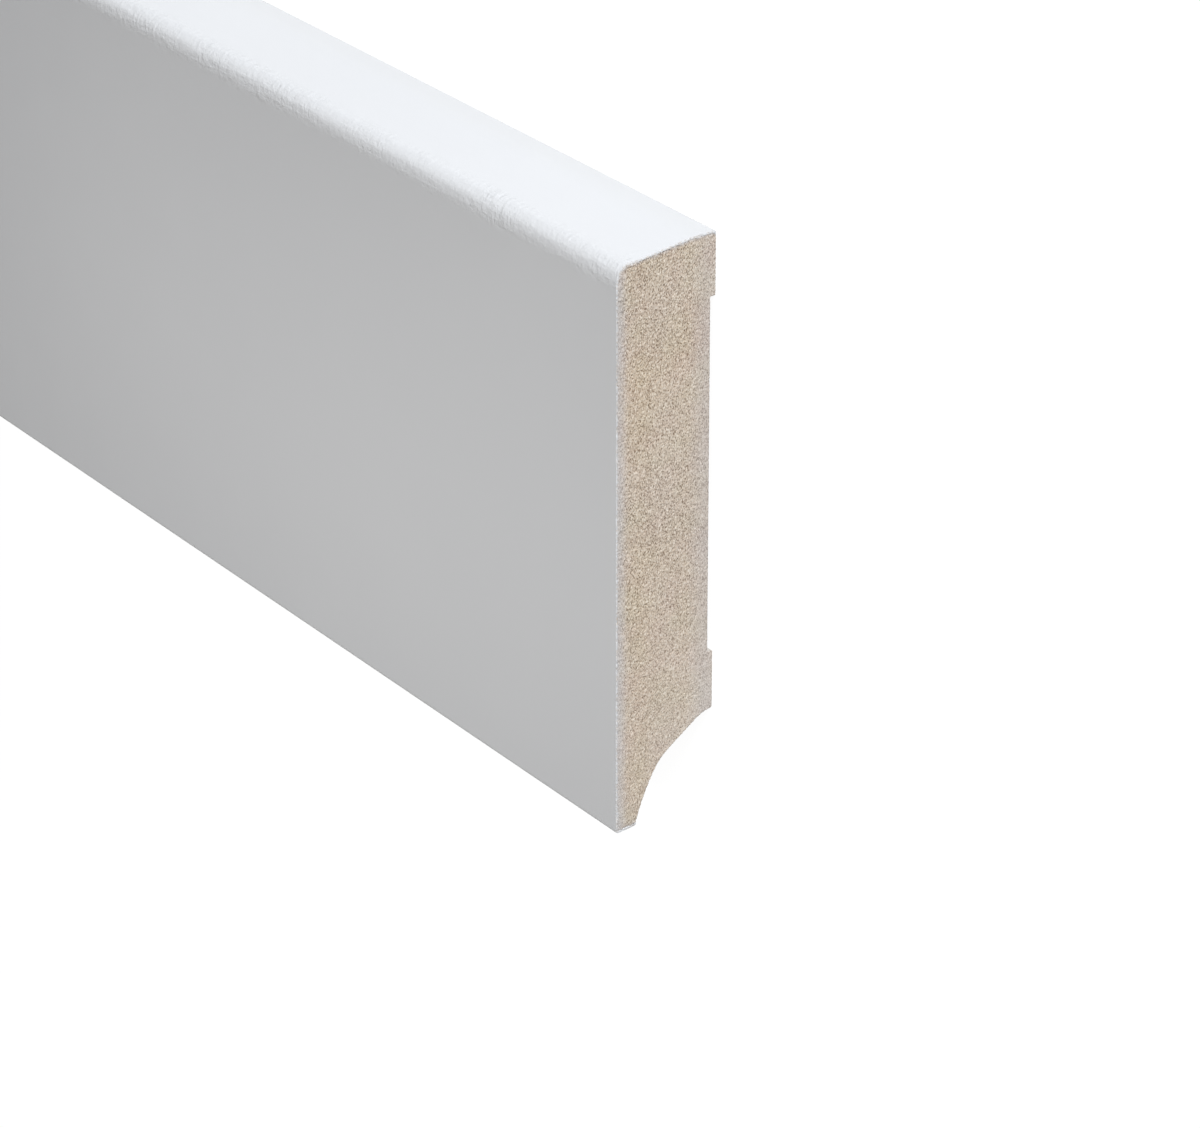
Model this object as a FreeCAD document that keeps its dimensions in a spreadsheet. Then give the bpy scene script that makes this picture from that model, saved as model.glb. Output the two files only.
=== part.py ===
import FreeCAD, Part
import math
import os
import Sketcher
from FreeCAD import Vector

# Skirting board length: one piece of MDF moulding with a white lacquered face.
# It lies on its back. X runs along the board, +Y points from the foot to the
# top edge, +Z out of the front face. The origin is under the middle, on the
# plane of the two lands that sit against the wall. Sizes are in millimetres.

# The driving dimensions. Angles are in degrees, heights count from the foot
# and depths count from the wall.
SIZES = (
    ("board_length", 2400.0, "stock length, sawn square at both ends"),
    ("board_height", 80.0, "foot to the highest point of the top edge"),
    ("board_thickness", 15.0, "wall lands to front face"),
    ("arris_radius", 3.0, "round between the front face and the top bevel"),
    ("bevel_angle", 9.0, "fall of the top bevel towards the front"),
    ("top_flat_width", 3.9, "flatter strip along the back of the top edge"),
    ("top_flat_angle", 3.0, "fall of that strip towards the front"),
    ("upper_land", 8.7, "width of the wall land above the relief"),
    ("relief_foot", 22.3, "height of the relief's lower edge"),
    ("relief_depth", 0.8, "how far the back is relieved between the lands"),
    ("foot_width", 2.95, "thickness left standing at the foot"),
    ("foot_angle", 7.5, "rise of the foot's underside towards the wall"),
    ("flank_height", 7.45, "height of the cable channel's curved flank"),
    ("flank_run", 2.95, "how far the flank leans towards the wall"),
    ("flank_radius", 28.0, "gentle hollow of the flank"),
    ("bend_radius", 8.7, "tighter hollow between flank and ramp"),
    ("ramp_angle", 36.0, "slope of the channel's ramp"),
    ("lip_width", 2.6, "depth of the channel's lip"),
    ("lip_radius", 6.0, "hollow that eases the ramp out to the wall"),
    ("edge_break", 0.25, "sanded edges that touch the wall and the foot's inner edge"),
)

# Places in the cross-section that follow from the sizes. Heights count from
# the middle of the board and depths from the wall.
PLACES = (
    ("foot", "-Sizes.board_height / 2"),
    ("top", "Sizes.board_height / 2"),
    ("wall", "0"),
    ("front", "Sizes.board_thickness"),
    ("flat_front", "Sizes.top_flat_width"),
    ("flat_low", "top - flat_front * tan(Sizes.top_flat_angle)"),
    ("bevel_low", "flat_low - (front - flat_front) * tan(Sizes.bevel_angle)"),
    ("relief_low", "foot + Sizes.relief_foot"),
    ("relief_high", "top - Sizes.upper_land"),
    ("relief_roof", "Sizes.relief_depth"),
    ("foot_inner", "front - Sizes.foot_width"),
    ("flank_top", "foot + Sizes.flank_height"),
    ("flank_inner", "foot_inner - Sizes.flank_run"),
    ("lip_depth", "Sizes.lip_width"),
    ("undercut_top", "foot + (front - flank_inner) * tan(Sizes.foot_angle)"),
)

# Ends of a curve and the origin, as a sketch constraint numbers them.
START = 1
END = 2
ORIGIN = (-1, 1)


def make_sheet(doc, name, rows):
    """Fill a spreadsheet with one aliased cell for each row."""
    sheet = doc.addObject("Spreadsheet::Sheet", name)
    for number, (alias, content, *note) in enumerate(rows, start=1):
        sheet.set(f"A{number}", alias)
        sheet.setAlias(f"B{number}", alias)
        sheet.set(f"B{number}", content)
        if note:
            sheet.set(f"C{number}", note[0])
    doc.recompute()
    return sheet


def make_sheets(doc):
    """Make the sheet of driving dimensions and the sheet of places."""
    make_sheet(doc, "Sizes", [(alias, str(size), note) for alias, size, note in SIZES])
    make_sheet(doc, "Places", [(alias, f"={formula}") for alias, formula in PLACES])


def size(doc, alias):
    """Read one driving dimension."""
    return float(doc.Sizes.get(alias))


def place(doc, alias):
    """Read one place in the cross-section."""
    return float(doc.Places.get(alias))


def point(doc, height, depth):
    """Find the point of a section sketch at two named places."""
    return Vector(place(doc, height), place(doc, depth), 0)


def section_sketch(body, name):
    """Start a sketch of the cross-section: x is its height, y its depth."""
    sketch = body.newObject("Sketcher::SketchObject", name)
    plane = next(item for item in body.Origin.OriginFeatures if item.Role == "YZ_Plane")
    sketch.AttachmentSupport = [(plane, "")]
    sketch.MapMode = "FlatFace"
    return sketch


def bind(sketch, name, formula, *constraint):
    """Add a constraint that a formula drives."""
    index = sketch.addConstraint(Sketcher.Constraint(*constraint))
    sketch.renameConstraint(index, name)
    sketch.setExpression(f"Constraints.{name}", formula)


def hold(sketch, geometry, end, height=None, depth=None):
    """Hold one end of a curve at a named height, a named depth, or both."""
    spot = sketch.getPoint(geometry, end)
    span = (*ORIGIN, geometry, end)
    if height:
        bind(sketch, f"{height}_{geometry}_{end}", f"Places.{height}", "DistanceX", *span, spot.x)
    if depth:
        bind(sketch, f"{depth}_{geometry}_{end}", f"Places.{depth}", "DistanceY", *span, spot.y)


def join(sketch, smooth=()):
    """Join each curve of a closed outline to the next, smoothly where named."""
    count = sketch.GeometryCount
    for index in range(count):
        kind = "Tangent" if index in smooth else "Coincident"
        sketch.addConstraint(Sketcher.Constraint(kind, index, END, (index + 1) % count, START))


def draw_polygon(sketch, corners):
    """Draw a closed outline through corners that are named places."""
    doc = sketch.Document
    points = [point(doc, *corner) for corner in corners]
    for first, second in zip(points, points[1:] + points[:1]):
        sketch.addGeometry(Part.LineSegment(first, second), False)
    join(sketch)
    for index, (height, depth) in enumerate(corners):
        hold(sketch, index, START, height, depth)


def cut(body, sketch, name):
    """Run a section through the whole board as a pocket."""
    before = body.Shape.Volume
    pocket = body.newObject("PartDesign::Pocket", name)
    pocket.Profile = sketch
    pocket.Type = "ThroughAll"
    pocket.SideType = "Symmetric"
    body.Document.recompute()
    removed = before - body.Shape.Volume
    print(f"{name} removes {removed / 1000:.1f} cm3")
    if removed <= 0:
        raise RuntimeError(f"{name} cuts nothing")


def long_edge(shape, height, depth):
    """Name the edge along the board that is nearest to a point of the section."""
    nearest = None
    for number, edge in enumerate(shape.Edges, start=1):
        middle = edge.BoundBox.Center
        along = abs(edge.tangentAt(edge.FirstParameter).x) > 0.99
        distance = math.hypot(middle.y - height, middle.z - depth)
        if along and (nearest is None or distance < nearest[0]):
            nearest = (distance, f"Edge{number}")
    return nearest[1]


def fillet(body, name, radius, corners):
    """Round the long edges at some points of the section."""
    base = body.Tip
    feature = body.newObject("PartDesign::Fillet", name)
    feature.Base = (base, [long_edge(base.Shape, *corner) for corner in corners])
    feature.setExpression("Radius", f"Sizes.{radius}")
    body.Document.recompute()


def plane_blank(body):
    """The planed blank that goes into the moulder."""
    sketch = section_sketch(body, "blank_section")
    draw_polygon(sketch, (("foot", "wall"), ("top", "wall"), ("top", "front"), ("foot", "front")))
    pad = body.newObject("PartDesign::Pad", "blank")
    pad.Profile = sketch
    pad.SideType = "Symmetric"
    pad.setExpression("Length", "Sizes.board_length")
    body.Document.recompute()


def cut_top_edge(body):
    """Slope the top edge: a bevel at the front and a flatter strip behind it."""
    sketch = section_sketch(body, "top_edge_section")
    draw_polygon(sketch, (("top", "wall"), ("flat_low", "flat_front"), ("bevel_low", "front"), ("top", "front")))
    cut(body, sketch, "top_edge")


def cut_wall_relief(body):
    """Relieve the back, so that only two lands touch the wall."""
    sketch = section_sketch(body, "wall_relief_section")
    corners = (("relief_low", "wall"), ("relief_high", "wall"))
    corners += (("relief_high", "relief_roof"), ("relief_low", "relief_roof"))
    draw_polygon(sketch, corners)
    cut(body, sketch, "wall_relief")


def on_circle(centre, radius, angle):
    """Find the point of a circle at an angle in radians."""
    return centre + Vector(math.cos(angle), math.sin(angle), 0) * radius


def arc(centre, radius, first, second):
    """Make an arc between two angles in radians."""
    return Part.ArcOfCircle(Part.Circle(centre, Vector(0, 0, 1), radius), first, second)


def cut_cable_channel(body):
    """Hollow out the lower back: three tangent arcs and a ramp.

    An angle on each arc is also the slope of the channel there."""
    doc = body.Document
    foot_edge = point(doc, "foot", "foot_inner")
    flank_end = point(doc, "flank_top", "flank_inner")
    flank_radius = size(doc, "flank_radius")
    bend_radius = size(doc, "bend_radius")
    lip_radius = size(doc, "lip_radius")
    ramp_angle = math.radians(size(doc, "ramp_angle"))

    chord = flank_end - foot_edge
    half_turn = math.asin(chord.Length / 2 / flank_radius)
    chord_angle = math.atan2(chord.x, -chord.y)
    flank_centre = on_circle(flank_end, -flank_radius, chord_angle - half_turn)
    bend_centre = on_circle(flank_end, -bend_radius, chord_angle - half_turn)
    ramp_end = on_circle(bend_centre, bend_radius, ramp_angle)

    ramp_run = ramp_end.y - place(doc, "lip_depth")
    ramp_start = ramp_end + Vector(ramp_run * math.tan(ramp_angle), -ramp_run, 0)
    lip_centre = on_circle(ramp_start, -lip_radius, ramp_angle)
    lip_angle = math.asin(-lip_centre.y / lip_radius)
    lip_end = on_circle(lip_centre, lip_radius, lip_angle)
    corner = point(doc, "foot", "wall")

    sketch = section_sketch(body, "cable_channel_section")
    outline = (
        arc(lip_centre, lip_radius, lip_angle, ramp_angle),
        Part.LineSegment(ramp_start, ramp_end),
        arc(bend_centre, bend_radius, ramp_angle, chord_angle - half_turn),
        arc(flank_centre, flank_radius, chord_angle - half_turn, chord_angle + half_turn),
        Part.LineSegment(foot_edge, corner),
        Part.LineSegment(corner, lip_end),
    )
    lip, ramp, bend, flank, foot_line, wall_line = range(len(outline))
    for curve in outline:
        sketch.addGeometry(curve, False)
    join(sketch, smooth=(lip, ramp, bend))
    bind(sketch, "lip_radius", "Sizes.lip_radius", "Radius", lip, lip_radius)
    bind(sketch, "bend_radius", "Sizes.bend_radius", "Radius", bend, bend_radius)
    bind(sketch, "flank_radius", "Sizes.flank_radius", "Radius", flank, flank_radius)
    bind(sketch, "ramp_angle", "(90 + Sizes.ramp_angle) * 1 deg", "Angle", ramp, math.pi / 2 + ramp_angle)
    hold(sketch, ramp, START, depth="lip_depth")
    hold(sketch, flank, START, "flank_top", "flank_inner")
    hold(sketch, foot_line, START, "foot", "foot_inner")
    hold(sketch, wall_line, START, "foot", "wall")
    hold(sketch, wall_line, END, depth="wall")
    cut(body, sketch, "cable_channel")
    return lip_end.x


def cut_foot(body):
    """Undercut the foot, so that it meets the floor on its front edge."""
    sketch = section_sketch(body, "foot_section")
    draw_polygon(sketch, (("foot", "front"), ("foot", "flank_inner"), ("undercut_top", "flank_inner")))
    cut(body, sketch, "foot_undercut")


def moulded_board(doc):
    """Make the board the way a moulder cuts it, then sand its edges."""
    body = doc.addObject("PartDesign::Body", "skirting_board")
    body.Label = "skirting_board"
    plane_blank(body)
    cut_top_edge(body)
    cut_wall_relief(body)
    channel_mouth = cut_cable_channel(body)
    cut_foot(body)
    rise = size(doc, "foot_width") * math.tan(math.radians(size(doc, "foot_angle")))
    foot_inner_height = place(doc, "foot") + rise
    fillet(body, "front_arris", "arris_radius", [(place(doc, "bevel_low"), place(doc, "front"))])
    broken = (
        (place(doc, "top"), place(doc, "wall")),
        (channel_mouth, place(doc, "wall")),
        (foot_inner_height, place(doc, "foot_inner")),
    )
    fillet(body, "sanded_edges", "edge_break", broken)
    return body


def check(doc, body):
    """Stop if a feature has failed, a sketch is loose or the solid isn't sound."""
    for item in doc.Objects:
        if {"Invalid", "Error"} & set(item.State):
            raise RuntimeError(f"{item.Name} failed: {item.State}")
        if item.isDerivedFrom("Sketcher::SketchObject") and not item.FullyConstrained:
            raise RuntimeError(f"{item.Name} isn't fully constrained")
    shape = body.Shape
    if shape.isNull() or not shape.isValid() or len(shape.Solids) != 1:
        raise RuntimeError("the board isn't one sound solid")


def main():
    doc = FreeCAD.newDocument("skirting_board_length")
    make_sheets(doc)
    body = moulded_board(doc)
    check(doc, body)
    box = body.Shape.BoundBox
    print(f"box {box.XLength:.2f} x {box.YLength:.2f} x {box.ZLength:.2f} mm")
    print(f"section {body.Shape.Volume / box.XLength:.1f} mm2")
    os.makedirs("parts", exist_ok=True)
    body.Shape.exportStep(f"parts/{body.Label}.step")


main()
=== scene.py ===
# %% [markdown]
# A length of skirting board, dressed for a picture. The board is moulded from
# one piece of MDF, lacquered white on its face, foot and top edge, and sawn
# square at both ends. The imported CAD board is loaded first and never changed:
# each piece below is built over it, in metres, in the same place. The whole
# board could be one mesh, but then the fine steps of its torn and chipped ends
# would run along all of it, so it is six pieces that meet without a gap.

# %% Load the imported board
import math

import bmesh
import bpy
from mathutils import Matrix, Vector, noise


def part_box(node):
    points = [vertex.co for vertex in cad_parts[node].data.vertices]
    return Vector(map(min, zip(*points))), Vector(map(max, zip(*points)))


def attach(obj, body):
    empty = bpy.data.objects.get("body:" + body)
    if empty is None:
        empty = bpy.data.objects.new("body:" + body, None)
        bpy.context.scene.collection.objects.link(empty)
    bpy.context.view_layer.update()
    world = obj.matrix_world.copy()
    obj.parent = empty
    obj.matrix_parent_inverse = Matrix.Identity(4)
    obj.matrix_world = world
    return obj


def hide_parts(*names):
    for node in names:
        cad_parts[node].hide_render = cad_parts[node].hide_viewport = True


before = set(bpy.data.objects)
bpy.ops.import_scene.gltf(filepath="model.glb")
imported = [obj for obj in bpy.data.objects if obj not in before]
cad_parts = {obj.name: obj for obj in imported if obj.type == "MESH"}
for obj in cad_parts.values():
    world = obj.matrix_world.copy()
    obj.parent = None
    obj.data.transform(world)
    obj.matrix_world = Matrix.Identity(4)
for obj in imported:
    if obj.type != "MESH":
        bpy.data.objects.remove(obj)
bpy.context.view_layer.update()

LOW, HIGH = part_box("skirting_board")
MM = 0.001
print("board, mm:", [round(side / MM, 1) for side in HIGH - LOW])

# %% [markdown]
# The board lies on its back, so Y runs from the foot to the top edge and Z from
# the wall to the front face. The section's sizes are the real ones, as a moulder
# would read them from the cutters. The lacquer is a film of a quarter of a
# millimetre. It wraps a little way round the foot's inner edge and the top
# corner at the wall, and thins out to nothing there: its inner side ends further
# on than its outer side, by a small share of its thickness.

# %% Sizes of the section
HEIGHT = 80.0 * MM
FOOT, TOP = LOW.y, LOW.y + HEIGHT
WALL, FRONT = LOW.z, HIGH.z
ARRIS_RADIUS = 3.0 * MM
BEVEL_ANGLE = math.radians(9.0)
FLAT_WIDTH = 3.9 * MM
FLAT_ANGLE = math.radians(3.0)
UPPER_LAND = 8.7 * MM
RELIEF_FOOT = 22.3 * MM
RELIEF_DEPTH = 0.8 * MM
FOOT_WIDTH = 2.95 * MM
FOOT_ANGLE = math.radians(7.5)
FLANK_HEIGHT = 7.45 * MM
FLANK_RUN = 2.95 * MM
FLANK_RADIUS = 28.0 * MM
BEND_RADIUS = 8.7 * MM
RAMP_ANGLE = math.radians(36.0)
LIP_WIDTH = 2.6 * MM
LIP_RADIUS = 6.0 * MM
EDGE_BREAK = 0.25 * MM
FILM = 0.25 * MM
WRAP = 0.45 * MM
FEATHER = 0.1
SOFT_CORNER = 0.35 * MM
SOFT_JOINT = 12.0 * MM
SMALLEST_ROUND = 0.05 * MM


def crossing(first, second):
    """Find where two lines of the section cross. A line is a point and a direction."""
    (p, d), (q, e) = first, second
    away = q - p
    return p + d * ((away.y * e.z - away.z * e.y) / (d.y * e.z - d.z * e.y))


def on_circle(centre, radius, angle):
    """Find a point of a circle in the section. The angle turns from Y towards Z."""
    return centre + Vector((0, math.cos(angle), math.sin(angle))) * radius


UP = Vector((0, 1, 0))
FOOT_FRONT = Vector((0, FOOT, FRONT))
FLAT_FRONT = Vector((0, TOP - FLAT_WIDTH * math.tan(FLAT_ANGLE), WALL + FLAT_WIDTH))
FACE_LINES = (
    (FOOT_FRONT, Vector((0, -math.sin(FOOT_ANGLE), math.cos(FOOT_ANGLE)))),
    (FOOT_FRONT, UP),
    (FLAT_FRONT, Vector((0, math.sin(BEVEL_ANGLE), -math.cos(BEVEL_ANGLE)))),
    (FLAT_FRONT, Vector((0, math.sin(FLAT_ANGLE), -math.cos(FLAT_ANGLE)))),
)
print("height and thickness, mm:", round((TOP - FOOT) / MM, 1), round((FRONT - WALL) / MM, 1))

# %% [markdown]
# The cable channel at the lower back is three arcs and a ramp. Each arc meets
# its neighbour at the same slope, so its centre lies on the same spoke. The
# spokes are worked out from the foot's inner edge towards the wall.

# %% Arcs of the cable channel
flank_foot = Vector((0, FOOT, FRONT - FOOT_WIDTH))
flank_end = flank_foot + Vector((0, FLANK_HEIGHT, -FLANK_RUN))
chord = flank_end - flank_foot
half_turn = math.asin(chord.length / 2 / FLANK_RADIUS)
chord_angle = math.atan2(chord.y, -chord.z)
flank_start, flank_stop = chord_angle - half_turn, chord_angle + half_turn
flank_centre = on_circle(flank_end, -FLANK_RADIUS, flank_start)
bend_centre = on_circle(flank_end, -BEND_RADIUS, flank_start)
ramp_end = on_circle(bend_centre, BEND_RADIUS, RAMP_ANGLE)
ramp_run = ramp_end.z - (WALL + LIP_WIDTH)
ramp_start = ramp_end + Vector((0, ramp_run * math.tan(RAMP_ANGLE), -ramp_run))
lip_centre = on_circle(ramp_start, -LIP_RADIUS, RAMP_ANGLE)
lip_angle = math.asin((WALL - lip_centre.z) / LIP_RADIUS)
lip_end = on_circle(lip_centre, LIP_RADIUS, lip_angle)
flank_slope = Vector((0, math.sin(flank_stop), -math.cos(flank_stop)))
foot_inner = crossing((flank_foot, flank_slope), FACE_LINES[0])
foot_gap = (foot_inner - flank_foot).length
print("channel mouth above the foot, mm:", round((lip_end.y - FOOT) / MM, 2))

# %% [markdown]
# The same corners serve the lacquer's outer skin and the MDF under it. The MDF's
# corners lie a film's thickness further in, except where the film ends, so one
# function returns both.

# %% Corners of the lacquered stretch
def lacquer_corners(inset):
    """List the corners from the channel's flank, round the face, to the wall."""
    wrap = WRAP if inset else 0
    lines = [(Vector((0, FOOT, foot_inner.z + wrap)), UP)]
    for place, along in FACE_LINES:
        lines.append((place + Vector((0, along.z, -along.y)) * inset, along))
    lines.append((Vector((0, TOP, WALL + wrap)), UP))
    reach = WRAP + inset * FEATHER
    flank_angle = flank_stop - (foot_gap + reach) / FLANK_RADIUS
    start = on_circle(flank_centre, FLANK_RADIUS, flank_angle)
    finish = Vector((0, TOP - reach - EDGE_BREAK, WALL))
    return [start, *[crossing(a, b) for a, b in zip(lines, lines[1:])], finish]


def corner_radii(inset):
    """Round each corner concentrically, so that the film keeps its thickness."""
    outer = (EDGE_BREAK, SOFT_CORNER, ARRIS_RADIUS, SOFT_JOINT, EDGE_BREAK)
    return [max(radius - inset, SMALLEST_ROUND) for radius in outer]


arris_drop = ARRIS_RADIUS * math.tan((math.pi / 2 - BEVEL_ANGLE) / 2)
arris_centre = lacquer_corners(0)[3] - Vector((0, arris_drop, ARRIS_RADIUS))
for inset in (0, FILM):
    corners = [(round(corner.y / MM, 2), round(corner.z / MM, 2)) for corner in lacquer_corners(inset)]
    print("corners, mm:", corners)

# %% [markdown]
# A moulded and sanded arris is never a perfect round. This one is a little fuller
# than its arc, with two faint ridges where the cutters met. Each ridge is an
# angle round the arris, a spread in degrees and a height. The fullness starts
# softly at the front face, where the arris was sanded.

# %% Fullness of the arris
RIDGES = ((39.5, 19.5, 0.23 * MM), (63, 15, 0.18 * MM))
SOFT_START = 6.0


def from_arris(place):
    """Measure from the arris's centre line to a spot, or return None outside the arris."""
    away = Vector((0, place.y - arris_centre.y, place.z - arris_centre.z))
    return away if away.y > 0 and away.z > 0 else None


def fullness(away):
    """Work out how far the arris stands proud of its arc here."""
    angle = math.degrees(math.atan2(away.y, away.z))
    ridges = sum(height * math.exp(-((angle - middle) / spread) ** 2)
                 for middle, spread, height in RIDGES)
    return ridges * (1 - math.exp(-(angle / SOFT_START) ** 2))


print("fullness at 45 degrees, mm:", round(fullness(Vector((0, 1, 1))) / MM, 3))

# %% [markdown]
# An outline could be a curve with a fillet at each corner, but its points would
# then fall where the curve puts them. Here it is drawn with a pen made of bmesh
# operators. A straight stroke extrudes the last vertex, and a rounded corner
# spins it about the centre of its arc. That keeps every round a true arc with as
# many steps as it needs. A short step on each side of a round holds the flats
# flat under smooth shading.

# %% A pen for outlines
HOLD = 0.2 * MM


class Pen:
    """Draws a chain of edges in the plane of the section."""

    def __init__(self, mesh, start):
        self.mesh = mesh
        self.tip = mesh.verts.new(start)
        self.path = [self.tip]

    def line(self, place, count=1):
        """Draw a straight stroke of a number of equal steps."""
        start = self.tip.co.copy()
        for number in range(1, count + 1):
            made = bmesh.ops.extrude_vert_indiv(self.mesh, verts=[self.tip])
            self.tip = made["verts"][0]
            self.tip.co = start.lerp(place, number / count)
            self.path.append(self.tip)

    def arc(self, centre, angle, count):
        """Draw an arc about a centre. A positive angle turns Y towards Z."""
        for number in range(count):
            made = bmesh.ops.spin(self.mesh, geom=[self.tip], cent=centre, axis=(1, 0, 0),
                                  angle=angle / count, steps=1)
            self.tip = next(item for item in made["geom_last"] if isinstance(item, bmesh.types.BMVert))
            self.path.append(self.tip)

    def rounded(self, corners, radii, strokes, arcs):
        """Draw through corners to the last one, rounding each by its own radius."""
        for number, radius in enumerate(radii):
            before, corner, after = corners[number:number + 3]
            heading = (corner - before).normalized()
            leaving = (after - corner).normalized()
            turn = math.copysign(heading.angle(leaving), heading.y * leaving.z - heading.z * leaving.y)
            bend = corner - heading * radius * math.tan(abs(turn) / 2)
            hold = min(HOLD, (bend - self.tip.co).length / 4)
            self.line(bend - heading * hold, strokes[number])
            self.line(bend)
            across = Vector((0, -heading.z, heading.y)) * math.copysign(radius, turn)
            self.arc(self.tip.co + across, turn, arcs[number])
            self.line(self.tip.co + leaving * min(HOLD, (after - self.tip.co).length / 4))
        self.line(corners[-1], strokes[-1])


# %% [markdown]
# The lacquered stretch is drawn alike for the lacquer's skin and for the MDF
# under it. The number of steps on each straight and each round is given with it,
# because the chipped edge of the film needs many more than the plain middle.

# %% Outline of the lacquered stretch
FACE_STROKES = (1, 2, 6, 3, 2, 1)
FACE_ARCS = (3, 4, 24, 4, 3)


def draw_lacquered(mesh, inset, strokes, arcs):
    """Draw the stretch that carries the lacquer, fill out its arris and return the pen."""
    corners = lacquer_corners(inset)
    pen = Pen(mesh, corners[0])
    pen.rounded(corners, corner_radii(inset), strokes, arcs)
    for vert in pen.path:
        away = from_arris(vert.co)
        if away:
            vert.co += away.normalized() * fullness(away)
    return pen


trial = bmesh.new()
print("points of the lacquered stretch:", len(draw_lacquered(trial, 0, FACE_STROKES, FACE_ARCS).path))
trial.free()

# %% [markdown]
# The MDF's outline carries on from the lacquer's stretch: down the upper land,
# in and out of the relief, round the channel's lip and back along its arcs. The
# last point meets the first, and one face fills the closed outline.

# %% Outline of the MDF
LEDGE_BREAK = 0.15 * MM
LIP_START = 0.1
LIP_STEPS, BEND_STEPS, FLANK_STEPS = 10, 10, 16
MERGE = 0.001 * MM


def draw_mdf(mesh):
    """Draw the closed outline of the bare MDF and fill it with one face."""
    pen = draw_lacquered(mesh, FILM, FACE_STROKES, FACE_ARCS)
    inside_lip = on_circle(lip_centre, LIP_RADIUS, lip_angle + LIP_START)
    corners = [
        pen.tip.co.copy(),
        Vector((0, TOP - UPPER_LAND, WALL)),
        Vector((0, TOP - UPPER_LAND, WALL + RELIEF_DEPTH)),
        Vector((0, FOOT + RELIEF_FOOT, WALL + RELIEF_DEPTH)),
        Vector((0, FOOT + RELIEF_FOOT, WALL)),
        lip_end,
        inside_lip,
    ]
    pen.rounded(corners, [LEDGE_BREAK] * 4 + [EDGE_BREAK], [1] * 6, [2] * 4 + [3])
    pen.arc(lip_centre, RAMP_ANGLE - lip_angle - LIP_START, LIP_STEPS)
    pen.line(ramp_end)
    pen.arc(bend_centre, flank_start - RAMP_ANGLE, BEND_STEPS)
    flank_turn = flank_stop - flank_start - (foot_gap + WRAP + FILM * FEATHER) / FLANK_RADIUS
    pen.arc(flank_centre, flank_turn, FLANK_STEPS)
    bmesh.ops.remove_doubles(mesh, verts=mesh.verts, dist=MERGE)
    made = bmesh.ops.contextual_create(mesh, geom=mesh.edges)
    area = made["faces"][0].calc_area() / MM ** 2
    print("outline points:", len(mesh.verts), "area, mm2:", round(area, 1))


# %% [markdown]
# A flat section becomes a bar when its face is extruded and the new end is moved
# along the board. A finished piece is then shaded smooth, apart from its sharp
# edges and from the edges where one finish meets another. It stands for the CAD
# board, which is hidden, and rides with its body.

# %% From an outline to a piece
SHARP = math.radians(35)
SHARP_TORN = math.radians(80)


def pull_out(mesh, start, length):
    """Extrude a flat section at x = 0 into a bar that starts at a given x."""
    made = bmesh.ops.extrude_face_region(mesh, geom=mesh.faces[:])
    far = [item for item in made["geom"] if isinstance(item, bmesh.types.BMVert)]
    bmesh.ops.translate(mesh, verts=far, vec=(length, 0, 0))
    bmesh.ops.translate(mesh, verts=mesh.verts, vec=(start, 0, 0))
    bmesh.ops.recalc_face_normals(mesh, faces=mesh.faces)


def finish_piece(name, mesh, materials, sharp=SHARP):
    """Turn a bmesh into an object that stands for the CAD board, and use the bmesh up."""
    for face in mesh.faces:
        face.smooth = True
    for edge in mesh.edges:
        finishes = {face.material_index for face in edge.link_faces}
        edge.smooth = len(finishes) == 1 and edge.calc_face_angle(0) < sharp
    data = bpy.data.meshes.new(name)
    mesh.to_mesh(data)
    mesh.free()
    for item in materials:
        data.materials.append(item)
    piece = bpy.data.objects.new(name, data)
    bpy.context.scene.collection.objects.link(piece)
    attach(piece, "root")
    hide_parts("skirting_board")
    data.calc_loop_triangles()
    print(name, "triangles:", len(data.loop_triangles))


# %% [markdown]
# Most of the board is one plain bar of MDF. Both ends are left to pieces of
# their own, because a sawn end needs thousands of small faces and the bar needs
# almost none.

# %% MDF between the sawn ends
END = 4.0 * MM
mdf = bpy.data.materials.new("bare_mdf")
core = bmesh.new()
draw_mdf(core)
pull_out(core, LOW.x + END, HIGH.x - LOW.x - 2 * END)
finish_piece("mdf_core", core, [mdf])

# %% [markdown]
# A saw tears the fibres of MDF, so its cut is a field of small pits and standing
# fibres. A bump in the finish could show them, but not where they break the
# outline and catch the low light, so they are real relief. The end of a short
# block is scored into a fine grid with the bisect operator, first into rows and
# then across them, and each corner of the grid can then sink by its own depth.

# %% A scored block
CELL = 0.135 * MM
SNAP = 1e-8
SQUARE = 0.99
ON_PLANE = 0.01 * MM


def faces_beyond(items, axis, place):
    """Keep the faces whose middle lies beyond a place."""
    return [item for item in items if isinstance(item, bmesh.types.BMFace)
            and item.calc_center_median()[axis] > place]


def score(mesh, faces, axis, low, high):
    """Cut flat faces with parallel planes a cell apart."""
    normal = Vector((0, 0, 0))
    normal[axis] = 1
    count = round((high - low) / CELL)
    for number in range(1, count):
        place = low + (high - low) * number / count
        edges = {edge for face in faces for edge in face.edges}
        verts = {vert for face in faces for vert in face.verts}
        made = bmesh.ops.bisect_plane(mesh, geom=[*faces, *edges, *verts], dist=SNAP,
                                      plane_co=normal * place, plane_no=normal)
        faces = faces_beyond(made["geom"], axis, place)


def end_faces(mesh, place):
    """Find the faces that lie flat at an end of the board."""
    return [face for face in mesh.faces if abs(face.normal.x) > SQUARE
            and abs(face.calc_center_median().x - place) < ON_PLANE]


print("grid across the end:", round(HEIGHT / CELL), "by", round((FRONT - WALL) / CELL), "cells")

# %% [markdown]
# Several things below depend on where a spot lies on the cut. MDF is pressed
# hardest at its faces and is loosest in a band behind the front one. Near the top
# edge the saw opened the pressed layer at the wall too. A fade that eases in and
# out keeps such changes from showing as lines.

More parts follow.
